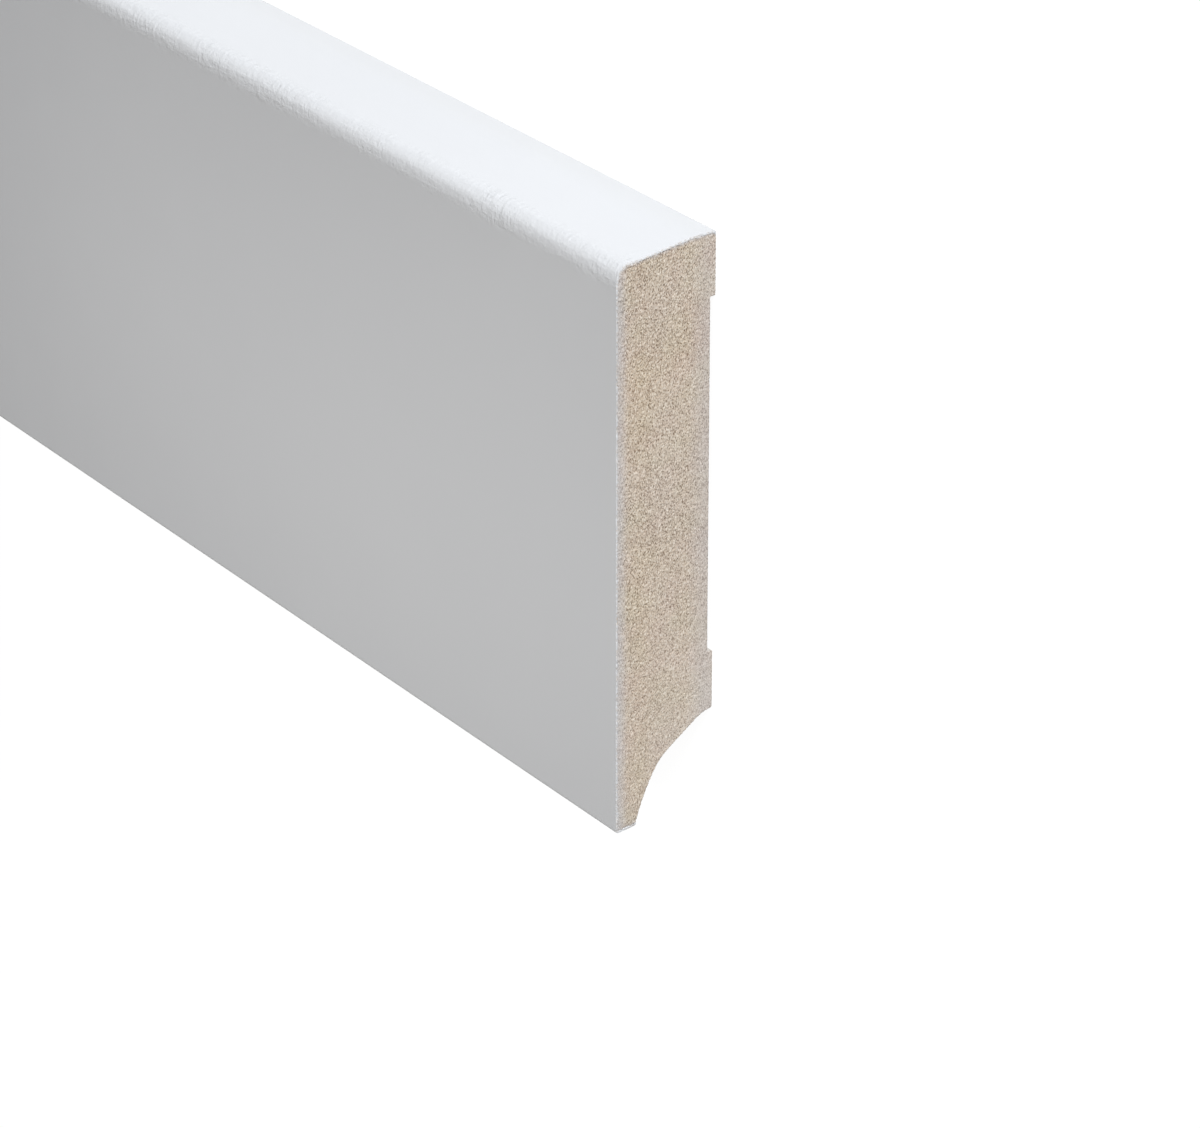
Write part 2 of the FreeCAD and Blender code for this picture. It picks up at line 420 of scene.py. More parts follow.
# %% Places on the cut
OPEN_DEPTH, OPEN_SPREAD = 3.6 * MM, 1.7 * MM
PRESSED_FRONT, PRESSED_WALL = 1.8 * MM, 3.2 * MM
NEAR_TOP = 12 * MM
OPENED_AT_TOP = 0.7


def gap_to_lacquer(place):
    """Measure how deep a spot lies under the lacquered faces."""
    away = from_arris(place)
    if away:
        return ARRIS_RADIUS + fullness(away) - away.length
    return min((place - start).dot(Vector((0, along.z, -along.y))) for start, along in FACE_LINES)


def fade(value):
    """Fall smoothly from 1 to 0 as the value goes from 0 to 1."""
    value = min(max(value, 0), 1)
    return 1 - value * value * (3 - 2 * value)


def open_core(place):
    """Tell how open the MDF is here. It is loosest in a band behind its front face."""
    return math.exp(-((FRONT - place.z - OPEN_DEPTH) / OPEN_SPREAD) ** 2)


def pressed_layer(place):
    """Tell how hard the MDF is pressed here, from 1 at its faces to 0 inside."""
    at_wall = 1 - OPENED_AT_TOP * fade((TOP - place.y) / NEAR_TOP)
    from_front = (FRONT - place.z) / PRESSED_FRONT
    from_wall = (place.z - WALL) / PRESSED_WALL
    return max(1 - from_front, at_wall - from_wall, 0)


def up_arris(place):
    """Tell how far up the arris a spot lies, from 0 below it to 1 at the top edge."""
    return min(max((place.y - arris_centre.y) / ARRIS_RADIUS, 0), 1)


middle = Vector((HIGH.x, (FOOT + TOP) / 2, (WALL + FRONT) / 2))
under_film = Vector((HIGH.x, middle.y, FRONT - FILM))
for spot in (middle, under_film):
    print("deep, mm:", round(gap_to_lacquer(spot) / MM, 2), "pressed:", round(pressed_layer(spot), 2))

# %% [markdown]
# The pits come from noise of several sizes. Single grains are torn out or left
# standing, a few deeper holes show where a bundle of fibres came away, and broad
# patches were cut cleaner than others. How strongly the grains stand out is worked
# out first. The pits are shallow in the pressed layers and deepest in the open
# band. The cut is rougher towards the top, more even at the foot and cleanest a
# little above it. The fibres just behind the film broke away with it. Each noise
# is read at an offset of its own, so that no two of them line up. The depth is
# kept on each vertex, and the finish reads it later to darken the pits and whiten
# the tips: partly the MDF's own tone, partly painted shade in the pits and a
# painted highlight on the tips.

# %% How rough the cut is
ROUGH = 1.04
PRESSED_LESS, OPEN_MORE, BROKEN_MORE = 0.4, 0.12, 0.2
FOOT_LESS, FOOT_REACH = 0.1, 30 * MM
LOW_LESS, LOW_END, LOW_EASE = 0.2, 55 * MM, 20 * MM


def roughness(place, broken):
    """Work out how strongly the grains stand out here."""
    up = place.y - FOOT
    rough = ROUGH - PRESSED_LESS * pressed_layer(place) + OPEN_MORE * open_core(place)
    rough += BROKEN_MORE * broken
    return rough - (FOOT_LESS * fade(up / FOOT_REACH) + LOW_LESS * fade((up - LOW_END) / LOW_EASE))


print("roughness in the middle and under the film:", round(roughness(middle, 0), 2),
      round(roughness(under_film, 1), 2))

# %% Torn fibres
GRAIN = 0.115 * MM
GRAIN_STRETCH = 0.6
COARSE_STRETCH = (0.22, 0.8)
PATCH = 9 * MM
HOLE = 1.6 * GRAIN
HOLE_START, HOLE_GAIN = 0.4, 1.8
GROUND = 0.42
GRAIN_SHARE, COARSE_SHARE, PATCH_SHARE = 0.85, 0.18, 0.09
BROKEN_REACH, BROKEN_SHARE = 0.8 * MM, 0.1
CLEAN_AT, CLEAN_REACH, CLEAN_SHARE = 18 * MM, 12 * MM, 0.055


def torn(place):
    """Work out how far the saw tore this spot, from 0 for a fibre tip to 1 for a pit."""
    grain = noise.noise(Vector((place.x, place.y * GRAIN_STRETCH, place.z)) / GRAIN)
    across, up = place.z * COARSE_STRETCH[1], place.y * COARSE_STRETCH[0]
    coarse = noise.noise(Vector((7, up, across)) / GRAIN)
    patch = noise.noise(place / PATCH + Vector((2, 5, 8)))
    hole = max(noise.noise(place / HOLE + Vector((1, 9, 4))) - HOLE_START, 0) * HOLE_GAIN
    broken = fade((gap_to_lacquer(place) - FILM) / BROKEN_REACH)
    cleaner = CLEAN_SHARE * fade(abs(place.y - FOOT - CLEAN_AT) / CLEAN_REACH)
    grains = (GRAIN_SHARE * grain + COARSE_SHARE * coarse) * roughness(place, broken)
    level = GROUND - cleaner + grains + PATCH_SHARE * patch
    return min(max(level + hole + BROKEN_SHARE * broken, 0), 1)


print("torn in the middle and under the film:", round(torn(middle), 2), round(torn(under_film), 2))

# %% [markdown]
# The cut has less colour at its rim. Primer has soaked a millimetre or so into
# the MDF under the lacquer, and the pressed layers at the front and at the wall
# are greyer than the core, the wall's one less so near the top edge. The open band
# is a little warmer. Each vertex keeps how much colour it has lost, so that the
# rim is as ragged as the noise makes it.

# %% Bleached rim
RAGGED, RAGGED_GRAIN = 0.25 * MM, 0.5 * MM
SOAKED, SOAKED_REACH = 0.72, 0.9 * MM
PALE_FRONT, PALE_FRONT_REACH = 0.6, 2.1 * MM
PALE_WALL, PALE_WALL_MOST, PALE_WALL_REACH = 0.5, 0.32, 4.2 * MM
LOST_AT_TOP = 0.5
WARM = 0.07


def bleach(place):
    """Work out how much of its colour a spot has lost. A warm spot comes out below 0."""
    ragged = RAGGED * noise.noise(place / RAGGED_GRAIN)
    soaked = SOAKED * fade((gap_to_lacquer(place) + ragged) / SOAKED_REACH)
    front = PALE_FRONT * fade((FRONT - place.z + ragged) / PALE_FRONT_REACH)
    wall = PALE_WALL * max(1 - (place.z - WALL + ragged) / PALE_WALL_REACH, 0)
    wall = min(wall, PALE_WALL_MOST)
    wall -= LOST_AT_TOP * wall * fade((TOP - place.y) / NEAR_TOP)
    return max(soaked, front, wall) - WARM * open_core(place)


print("bleached in the middle and under the film:", round(bleach(middle), 2), round(bleach(under_film), 2))

# %% [markdown]
# The saw has dragged a few teeth of lacquer over the MDF. There are more of them
# up the arris and towards the foot. A tooth's reach comes from noise, and where
# the noise is low there is none.

# %% Dragged teeth of lacquer
TOOTH = 0.35 * MM
TOOTH_GRAIN = 0.4 * MM
TOOTH_WIDE = 0.1 * MM
TOOTH_LEAST = 0.01 * MM
TEETH_UP, TEETH_LOW, TEETH_LOW_REACH = 0.3, 0.25, 22 * MM
TEETH_FEWER = 0.1


def smear(place):
    """Work out how much lacquer the saw has dragged over a spot."""
    low = fade((place.y - FOOT) / TEETH_LOW_REACH)
    plenty = TEETH_UP * up_arris(place) + TEETH_LOW * low - TEETH_FEWER
    reach = max(noise.noise(place / TOOTH_GRAIN + Vector((5, 5, 5))) + plenty, 0) * TOOTH
    beyond = gap_to_lacquer(place) - FILM
    return fade(beyond / max(reach, TOOTH_LEAST)) * min(reach / TOOTH_WIDE, 1)


print("smeared in the middle and under the film:", round(smear(middle), 2), round(smear(under_film), 2))

# %% [markdown]
# A torn end has its vertices sunk by their own depth. Those at the rim sink half
# as deep again, because nothing holds the fibres there. Depth, lost colour and
# dragged lacquer are kept in vertex attributes for the finish.

# %% Both sawn ends
PIT_DEPTH = 0.16 * MM
RIM_EXTRA = 1.5
ALONG = 0.5
grain_end = bpy.data.materials.new("sawn_mdf")


def tear(mesh, place, inwards):
    """Sink each vertex of a scored end by its own depth and keep what the finish needs."""
    layer = mesh.verts.layers.float.new("torn")
    pale = mesh.verts.layers.float.new("bleached")
    white = mesh.verts.layers.float.new("smeared")
    ends = {vert for face in end_faces(mesh, place) for vert in face.verts}
    for vert in ends:
        depth = torn(vert.co)
        rim = any(abs(face.normal.x) < ALONG for face in vert.link_faces)
        vert[layer] = depth
        vert[pale] = bleach(vert.co)
        vert[white] = smear(vert.co)
        vert.co.x += inwards * depth * PIT_DEPTH * (RIM_EXTRA if rim else 1)
    print("torn vertices:", len(ends))


def sawn_end(name, start, place, inwards):
    """Make one end block, from its drawn outline to its torn face."""
    block = bmesh.new()
    draw_mdf(block)
    pull_out(block, start, END)
    score(block, end_faces(block, place), 1, FOOT, TOP)
    score(block, end_faces(block, place), 2, WALL, FRONT)
    for face in end_faces(block, place):
        face.material_index = 1
    tear(block, place, inwards)
    finish_piece(name, block, [mdf, grain_end], SHARP_TORN)


sawn_end("sawn_end_right", HIGH.x - END, HIGH.x, -1)
sawn_end("sawn_end_left", LOW.x, LOW.x, 1)

# %% [markdown]
# The lacquer is a closed skin with a real thickness. A Solidify modifier could
# give it one, but the film has to end in a thin wedge at both of its long edges.
# So its outer and inner paths are bridged. Each is marked for the finish of the
# cut edge with how much of the top coat it has lost: the inner one all of it, the
# outer one some of it under the arris.

# %% Lacquer film
WORN_AT, WORN_REACH, WORN_MOST = 66 * MM, 12 * MM, 0.6


def edges_along(path):
    """Collect the edges that join a path's vertices in turn."""
    chain = []
    for first, second in zip(path, path[1:]):
        chain.append(next(edge for edge in first.link_edges if second in edge.verts))
    return chain


def film_between(start, length, strokes, arcs, rows):
    """Make a stretch of lacquer film, divided into rows along the board."""
    film = bmesh.new()
    worn = film.verts.layers.float.new("worn")
    outside, inside = [draw_lacquered(film, inset, strokes, arcs).path for inset in (0, FILM)]
    for vert in outside:
        vert[worn] = WORN_MOST * fade(abs(vert.co.y - FOOT - WORN_AT) / WORN_REACH)
    for vert in inside:
        vert[worn] = 1
    bmesh.ops.bridge_loops(film, edges=edges_along(outside) + edges_along(inside))
    pull_out(film, start, length)
    long = [edge for edge in film.edges if abs(edge.verts[0].co.x - edge.verts[1].co.x) > length / 2]
    bmesh.ops.subdivide_edges(film, edges=long, cuts=rows - 1, use_grid_fill=True)
    return film


# %% [markdown]
# A moulder's arris isn't quite straight: it waves by a few hundredths of a
# millimetre, which shows in its highlight. The film's long edges are divided, and
# the arris dips inwards by two slow noises. The dip eases out at both sides of the
# arris, so the flats stay flat.

# %% Film with a wandering arris
FILM_END = 2.0 * MM
ROW = 4.0 * MM
WANDER = 0.05 * MM
SLOW_ALONG, SLOW_ROUND = 34 * MM, 3 * MM
QUICK_ALONG, QUICK_ROUND = 9 * MM, 2 * MM
DIP, DIP_SLOW, DIP_QUICK = 0.5, 0.3, 0.2
lacquer = bpy.data.materials.new("white_lacquer")


def wander(film):
    """Let the arris dip inwards by a few hundredths of a millimetre."""
    for vert in film.verts:
        away = from_arris(vert.co)
        if away:
            slow = noise.noise(Vector((vert.co.x / SLOW_ALONG, away.y / SLOW_ROUND, 0)))
            quick = noise.noise(Vector((vert.co.x / QUICK_ALONG, away.z / QUICK_ROUND, 5)))
            ease = min(away.y, away.z) / away.length
            dip = DIP + DIP_SLOW * slow + DIP_QUICK * quick
            vert.co -= away.normalized() * WANDER * ease * dip


rows = round((HIGH.x - LOW.x) / ROW)
length = HIGH.x - LOW.x - 2 * FILM_END
film = film_between(LOW.x + FILM_END, length, FACE_STROKES, FACE_ARCS, rows)
wander(film)
finish_piece("lacquer_film", film, [lacquer])

# %% [markdown]
# The saw chips the lacquer as it leaves the cut. Cutting real chips out with a
# boolean would leave a messy mesh for so small a thing. Instead the last two
# millimetres of film are a separate piece with much finer steps. Its cut edge is
# pushed in by small amounts, with a bigger chip here and there, and the push
# fades out over the next rows. At the top edge the film broke at a slant, so its
# outer skin lies further in.

# %% Chipped edges of the film
EDGE_STROKES = (3, 12, 380, 54, 18, 3)
EDGE_ARCS = (4, 5, 24, 8, 4)
EDGE_ROWS = 10
CHIP = 0.17 * MM
SMALL_CHIP, BIG_CHIP = 0.28 * MM, 1.7 * MM
BIG_START, BIG_GAIN = 0.25, 1.4
SLANT = 0.08 * MM
FADE = 1.4 * MM
cut_film = bpy.data.materials.new("cut_lacquer")


def chip(film, place, inwards):
    """Push the cut edge of the film in, unevenly."""
    worn = film.verts.layers.float["worn"]
    for vert in film.verts:
        gap = abs(vert.co.x - place)
        if gap < FADE:
            spot = Vector((0, vert.co.y, vert.co.z))
            small = abs(noise.noise(spot / SMALL_CHIP))
            big = max(noise.noise(spot / BIG_CHIP + Vector((3, 0, 0))) - BIG_START, 0)
            slant = SLANT * (1 - vert[worn]) * up_arris(vert.co)
            depth = CHIP * min(small + BIG_GAIN * big, 1) + slant
            vert.co.x += inwards * depth * (1 - gap / FADE)


def film_edge(name, start, place, inwards):
    """Make the last stretch of film at one end."""
    film = film_between(start, FILM_END, EDGE_STROKES, EDGE_ARCS, EDGE_ROWS)
    wander(film)
    for face in end_faces(film, place):
        face.material_index = 1
    chip(film, place, inwards)
    finish_piece(name, film, [lacquer, cut_film])


film_edge("lacquer_edge_right", HIGH.x - FILM_END, HIGH.x, -1)
film_edge("lacquer_edge_left", LOW.x, LOW.x, 1)

# %% [markdown]
# Each finish is a small network of nodes on Object coordinates, so a pattern
# has its real size in millimetres and sticks to the board from every side. An
# image would need seams and would blur close up. A few helpers keep the networks
# short: the first ones open a finish, add a node and feed it.

# %% Helpers for finishes
def start_finish(material):
    """Open a material's nodes and return them with the shader and the coordinates."""
    material.use_nodes = True
    nodes = material.node_tree.nodes
    place = nodes.new("ShaderNodeTexCoord").outputs["Object"]
    return material.node_tree, nodes["Principled BSDF"], place


def feed(tree, socket, value):
    """Set a socket to a number or a colour, or link an output to it."""
    if isinstance(value, bpy.types.NodeSocket):
        tree.links.new(value, socket)
    else:
        socket.default_value = value


def add_node(tree, kind, settings=(), **inputs):
    """Add a node, set its options and feed its inputs by name."""
    node = tree.nodes.new(kind)
    for key, value in dict(settings).items():
        setattr(node, key, value)
    for key, value in inputs.items():
        feed(tree, node.inputs[key.replace("_", " ")], value)
    return node


def report(material):
    """Print how many nodes a finish has."""
    print(material.name, "nodes:", len(material.node_tree.nodes))


# %% [markdown]
# The next helpers make a noise of a given grain, stretch a pattern along one
# direction, map and combine values, mix colours and turn a height into a bump.
# Most of a noise's values lie between 0.3 and 0.7, so that range is mapped, or a
# narrower one where the pattern should be crisper.

# %% Helpers for patterns
NOISE = (0.3, 0.7)


def stretch(tree, place, x=1.0, y=1.0, z=1.0):
    """Scale the coordinates, so that a pattern is longer in one direction."""
    node = add_node(tree, "ShaderNodeMapping", {"vector_type": "POINT"}, Vector=place, Scale=(x, y, z))
    return node.outputs["Vector"]


def grain_of(tree, place, size, detail=2.0, roughness=0.5):
    """Make a noise whose grains have a given size in metres."""
    node = add_node(tree, "ShaderNodeTexNoise", Vector=place, Scale=1 / size, Detail=detail,
                    Roughness=roughness)
    return node.outputs["Fac"]


def remap(tree, value, low, high, first=0.0, last=1.0, soft=False):
    """Map a range of a value to another, held at both ends."""
    kind = "SMOOTHSTEP" if soft else "LINEAR"
    node = add_node(tree, "ShaderNodeMapRange", {"interpolation_type": kind, "clamp": True}, Value=value)
    for number, limit in enumerate((low, high, first, last), 1):
        node.inputs[number].default_value = limit
    return node.outputs["Result"]


def maths(tree, operation, first, second):
    """Combine two values."""
    node = add_node(tree, "ShaderNodeMath", {"operation": operation})
    feed(tree, node.inputs[0], first)
    feed(tree, node.inputs[1], second)
    return node.outputs["Value"]


def blend_colours(tree, factor, first, second):
    """Mix two colours by a factor."""
    node = add_node(tree, "ShaderNodeMix", {"data_type": "RGBA", "clamp_factor": True})
    feed(tree, node.inputs["Factor"], factor)
    feed(tree, node.inputs["A"], first)
    feed(tree, node.inputs["B"], second)
    return node.outputs["Result"]


def bump(tree, height, depth, under=None):
    """Raise a surface by a height of 0 to 1 times a depth in metres."""
    node = add_node(tree, "ShaderNodeBump", Strength=1.0, Distance=depth, Height=height)
    if under:
        feed(tree, node.inputs["Normal"], under)
    return node.outputs["Normal"]


# %% [markdown]
# The lacquer is a satin white with a slightly cool cast, a little darker towards the wall.
# Two clouds vary its white and its gloss a little, because an even coat looks like
# plastic. A few specks of dust lie under the last coat. They are the middles of
# the cells of a Voronoi pattern, and only about every fifth cell shows its speck.
# A speck's size is a share of the distance between the cells.

# %% Colour of the white lacquer
WHITE = (0.835, 0.84, 0.846, 1)
WHITE_DULL = (0.82, 0.825, 0.832, 1)
WHITE_BY_WALL = (0.80, 0.802, 0.80, 1)
DUST = (0.42, 0.42, 0.42, 1)
CLOUD_SIZE, GLOSS_SIZE = 60 * MM, 9 * MM
DUST_APART = 11 * MM
DUST_SIZE = (0.012, 0.028)
DUST_CHANCE = (0.80, 0.81)
BY_WALL_WIDTH = 5 * MM
GLOSS = (0.34, 0.42)
tree, shader, place = start_finish(lacquer)
apart = add_node(tree, "ShaderNodeSeparateXYZ", Vector=place)
cloud = remap(tree, grain_of(tree, place, CLOUD_SIZE), *NOISE)
white = blend_colours(tree, cloud, WHITE, WHITE_DULL)
# The white turns a little darker and warmer within a few millimetres of the wall.
by_wall = remap(tree, apart.outputs["Z"], WALL, WALL + BY_WALL_WIDTH, 1.0, 0.0)
white = blend_colours(tree, by_wall, white, WHITE_BY_WALL)
cells = add_node(tree, "ShaderNodeTexVoronoi", {"feature": "F1"}, Vector=place, Scale=1 / DUST_APART)
speck = remap(tree, cells.outputs["Distance"], *DUST_SIZE, 1.0, 0.0, soft=True)
chance = add_node(tree, "ShaderNodeSeparateColor", Color=cells.outputs["Color"])
rare = remap(tree, chance.outputs["Red"], *DUST_CHANCE)
dust = maths(tree, "MULTIPLY", speck, rare)
feed(tree, shader.inputs["Base Color"], blend_colours(tree, dust, white, DUST))
feed(tree, shader.inputs["Roughness"], remap(tree, grain_of(tree, place, GLOSS_SIZE), *NOISE, *GLOSS))
shader.inputs["Specular IOR Level"].default_value = 0.25
report(lacquer)

# %% [markdown]
# The lacquer has a very fine orange peel, and on the arris the marks of moulding
# and sanding: streaks along it, small chatter and faint ripples across it,
# stronger in some stretches than in others. They are too fine and too shallow to
# be worth geometry, so they are bump. They are masked by height and depth, so
# they stay on the arris.

# %% Peel and arris marks of the white lacquer
PEEL_SIZE, PEEL_DEPTH = 1.3 * MM, 0.0035 * MM
STREAK, CHATTER, RIPPLE = 0.6 * MM, 0.65 * MM, 1.3 * MM
STREAK_SHARE, RIPPLE_SHARE = 0.4, 0.4
SPELL_LENGTH = 10 * MM
SPELL = (0.6, 1.35)
MARKS_DEPTH = 0.145 * MM
MARKS_MIDDLE = 0.9
MASK_LOW, MASK_HIGH = arris_centre.y - 1.1 * MM, arris_centre.y + 0.5 * MM
MASK_BACK, MASK_FRONT = arris_centre.z - 0.4 * MM, arris_centre.z + 0.6 * MM
high = remap(tree, apart.outputs["Y"], MASK_LOW, MASK_HIGH, soft=True)
front = remap(tree, apart.outputs["Z"], MASK_BACK, MASK_FRONT, soft=True)
on_arris = maths(tree, "MULTIPLY", high, front)
peel = grain_of(tree, place, PEEL_SIZE, detail=1.0)
streaks = grain_of(tree, stretch(tree, place, x=0.15), STREAK, detail=1.0)
chatter = grain_of(tree, stretch(tree, place, y=0.6, z=0.6), CHATTER, detail=3.0, roughness=0.7)
ripple = grain_of(tree, stretch(tree, place, y=0.25, z=0.25), RIPPLE, detail=1.0)
spell = remap(tree, grain_of(tree, place, SPELL_LENGTH), 0.38, 0.62, *SPELL)
marks = maths(tree, "ADD", maths(tree, "MULTIPLY", streaks, STREAK_SHARE), chatter)
marks = maths(tree, "ADD", marks, maths(tree, "MULTIPLY", ripple, RIPPLE_SHARE))
marks = maths(tree, "MULTIPLY", maths(tree, "SUBTRACT", marks, MARKS_MIDDLE), spell)
skin = bump(tree, peel, PEEL_DEPTH)
worked = bump(tree, maths(tree, "MULTIPLY", marks, on_arris), MARKS_DEPTH, skin)
feed(tree, shader.inputs["Normal"], worked)
report(lacquer)

# %% [markdown]
# Sawn MDF is a felt of pale fibres in brown glue. A network of its own makes the
# tone from a depth: pits are brown, the ground is straw yellow and the fibre tips
# are cream. The pits' brown is partly the glue and partly painted shade, and the
# tips' cream partly the fibres and partly a painted highlight. A very fine noise
# is added to the depth, because single fibres are smaller than the grid's cells.
# The ends and the dust on the cut lacquer share it.

# %% Tone of sawn MDF
# Pit colour: the glue's brown with painted shade. Tip colour: the fibres' cream with a painted highlight.
PIT_BROWN_AND_SHADE = (0.235, 0.165, 0.115, 1)
STRAW = (0.664, 0.55, 0.435, 1)
TIP_CREAM_AND_HIGHLIGHT = (0.863, 0.772, 0.66, 1)
FIBRE = 0.11 * MM
FIBRE_BUMP = 0.04 * MM
DEPTH_SHARE, FIBRE_SHARE = 0.33, 0.85
TIP_TO_STRAW, STRAW_TO_PIT = (0.32, 0.52), (0.6, 0.8)


def sawn_tone(tree, place, depth):
    """Turn a torn depth into the colour of sawn MDF, partly painted shade in the pits and a painted
    highlight on the tips, and return the fibres too.
    """
    fibre = grain_of(tree, stretch(tree, place, y=0.42), FIBRE, detail=0.0)
    torn_share = maths(tree, "MULTIPLY", depth, DEPTH_SHARE)
    level = maths(tree, "ADD", torn_share, maths(tree, "MULTIPLY", fibre, FIBRE_SHARE))
    low_side = blend_colours(tree, remap(tree, level, *STRAW_TO_PIT), STRAW, PIT_BROWN_AND_SHADE)
    return blend_colours(tree, remap(tree, level, *TIP_TO_STRAW), TIP_CREAM_AND_HIGHLIGHT, low_side), fibre


print("fibres smaller than a cell:", FIBRE < CELL)

# %% [markdown]
# The rim of the cut loses its colour as far as the vertices tell, and the dragged
# teeth of lacquer are white. A broad cloud makes some of the cut a little stronger
# in colour and some greyer. The cut is stronger in colour near the top, weaker at
# the foot, and more even towards the foot. Small clouds turn yellowish or pinkish,
# and the bleached rim is pinkish too. Colour that is lost is taken off the
# saturation, so the grain still shows through it.

# %% Sawn MDF
RIM = (0.60, 0.493, 0.40, 1)
TOP_COAT = (0.83, 0.835, 0.845, 1)
EVEN_HEIGHT, EVEN_MOST = 38 * MM, 0.26
SAWN_CLOUD, CLOUD = 18 * MM, (0.85, 1.07)
FOOT_HEIGHT, FOOT_LOSS = 14 * MM, -0.15
TOP_FROM, TOP_TO, TOP_GAIN = 32 * MM, 5 * MM, 0.12
TINT_CLOUD, TINT = 5 * MM, (0.494, 0.508)
PINK_RIM = 0.014
RIM_MOST, DRAGGED_MOST = 0.95, 0.85
tree, shader, place = start_finish(grain_end)
depth = add_node(tree, "ShaderNodeAttribute", {"attribute_name": "torn"}).outputs["Fac"]
bleached = add_node(tree, "ShaderNodeAttribute", {"attribute_name": "bleached"}).outputs["Fac"]
tone, fibre = sawn_tone(tree, place, depth)
height = add_node(tree, "ShaderNodeSeparateXYZ", Vector=place).outputs["Y"]
tone = blend_colours(tree, remap(tree, height, FOOT, FOOT + EVEN_HEIGHT, EVEN_MOST, 0.0), tone, STRAW)
cloud = remap(tree, grain_of(tree, place, SAWN_CLOUD), *NOISE, *CLOUD)
foot_loss = remap(tree, height, FOOT, FOOT + FOOT_HEIGHT, FOOT_LOSS, 0.0)
top_gain = remap(tree, height, TOP - TOP_FROM, TOP - TOP_TO, 0.0, TOP_GAIN)
strength = maths(tree, "ADD", cloud, maths(tree, "ADD", foot_loss, top_gain))
saturation = maths(tree, "SUBTRACT", strength, bleached)
tint = remap(tree, grain_of(tree, place, TINT_CLOUD), 0.35, 0.65, *TINT)
tint = maths(tree, "SUBTRACT", tint, maths(tree, "MULTIPLY", bleached, PINK_RIM))
tone = blend_colours(tree, maths(tree, "MULTIPLY", bleached, RIM_MOST), tone, RIM)
rim = add_node(tree, "ShaderNodeHueSaturation", Hue=tint, Saturation=saturation, Color=tone)
smeared = add_node(tree, "ShaderNodeAttribute", {"attribute_name": "smeared"}).outputs["Fac"]
dragged = maths(tree, "MULTIPLY", smeared, DRAGGED_MOST)
feed(tree, shader.inputs["Base Color"], blend_colours(tree, dragged, rim.outputs["Color"], TOP_COAT))
shader.inputs["Roughness"].default_value = 0.9
shader.inputs["Specular IOR Level"].default_value = 0.25
feed(tree, shader.inputs["Normal"], bump(tree, fibre, FIBRE_BUMP))
report(grain_end)

# %% [markdown]
# Where the saw went through the film its edge is matt, crushed and dusted with
# MDF. The top coat is white and the primer under it is greyer. The edge is a
# quarter of a millimetre wide, so an attribute from its outer to its inner side
# tells the coats apart better than a pattern in space would.

# %% Cut edge of the lacquer
PRIMER = (0.60, 0.595, 0.59, 1)
CRUMB = 0.3 * MM
DUSTED = (0.0, 0.45)
tree, shader, place = start_finish(cut_film)
worn = add_node(tree, "ShaderNodeAttribute", {"attribute_name": "worn"}).outputs["Fac"]
crumbs = grain_of(tree, place, CRUMB, detail=1.0)
dusted = remap(tree, crumbs, 0.46, 0.6, *DUSTED)
tone, fibre = sawn_tone(tree, place, crumbs)
coats = blend_colours(tree, worn, TOP_COAT, PRIMER)
feed(tree, shader.inputs["Base Color"], blend_colours(tree, dusted, coats, tone))
shader.inputs["Roughness"].default_value = 0.8
feed(tree, shader.inputs["Normal"], bump(tree, fibre, FIBRE_BUMP))
report(cut_film)

# %% [markdown]
# The back was planed by the moulder and left bare. It is smoother and browner
# than the saw cut: fine fibres lie along the board, darker shives are scattered
# in it, and the cutter's passes leave faint waves across it.

# %% Planed MDF
BROWN = (0.43, 0.325, 0.22, 1)
BROWN_LIGHT = (0.53, 0.42, 0.30, 1)
BROWN_DARK = (0.30, 0.21, 0.135, 1)
FELT, PALE_CLOUD, PALE_MOST = 0.5 * MM, 22 * MM, 0.35
SHIVES_APART, SHIVE_SIZE, SHIVE_MOST = 1.4 * MM, (0.08, 0.2), 0.55
tree, shader, place = start_finish(mdf)
along = stretch(tree, place, x=0.3)
felt = grain_of(tree, along, FELT, detail=3.0, roughness=0.65)
cloud = remap(tree, grain_of(tree, place, PALE_CLOUD), *NOISE)
brown = blend_colours(tree, remap(tree, felt, 0.35, 0.65), BROWN, BROWN_LIGHT)
brown = blend_colours(tree, maths(tree, "MULTIPLY", cloud, PALE_MOST), brown, BROWN_LIGHT)
cells = add_node(tree, "ShaderNodeTexVoronoi", {"feature": "F1"}, Vector=along, Scale=1 / SHIVES_APART)
shive = remap(tree, cells.outputs["Distance"], *SHIVE_SIZE, 1.0, 0.0)
brown = blend_colours(tree, maths(tree, "MULTIPLY", shive, SHIVE_MOST), brown, BROWN_DARK)
report(mdf)

# %% [markdown]
# A pale band is painted on the relief's lower ledge: a painted highlight where the
# ledge faces the light from above, which shows as a thin pale line. It is a narrow
# band by height, stronger and weaker along the board. The waves are real shape,
# but only a few thousandths of a millimetre deep, so they are bump. At a scale of
# 1 the wave node runs through 20 radians in each metre, so its scale is worked
# out from the length of one radian. A whole wave is then ten millimetres long.

# %% Painted highlight on the ledge and waves on the planed MDF
# A pale colour painted on the relief's lower ledge as a highlight, where the ledge faces the light.
LEDGE_HIGHLIGHT = (0.80, 0.79, 0.77, 1)
HIGHLIGHT_PATCH_LENGTH, HIGHLIGHT_PATCH = 12 * MM, (0.35, 1.0)
HIGHLIGHT_LOW, HIGHLIGHT_FULL = -0.2 * MM, -0.08 * MM
HIGHLIGHT_FADES, HIGHLIGHT_HIGH = 0.02 * MM, 0.5 * MM
WAVE_NODE_RATE = 20
WAVE_RADIAN = 1.6 * MM
WAVE_DEPTH = 0.006 * MM
FELT_DEPTH = 0.03 * MM
height = add_node(tree, "ShaderNodeSeparateXYZ", Vector=place).outputs["Y"]
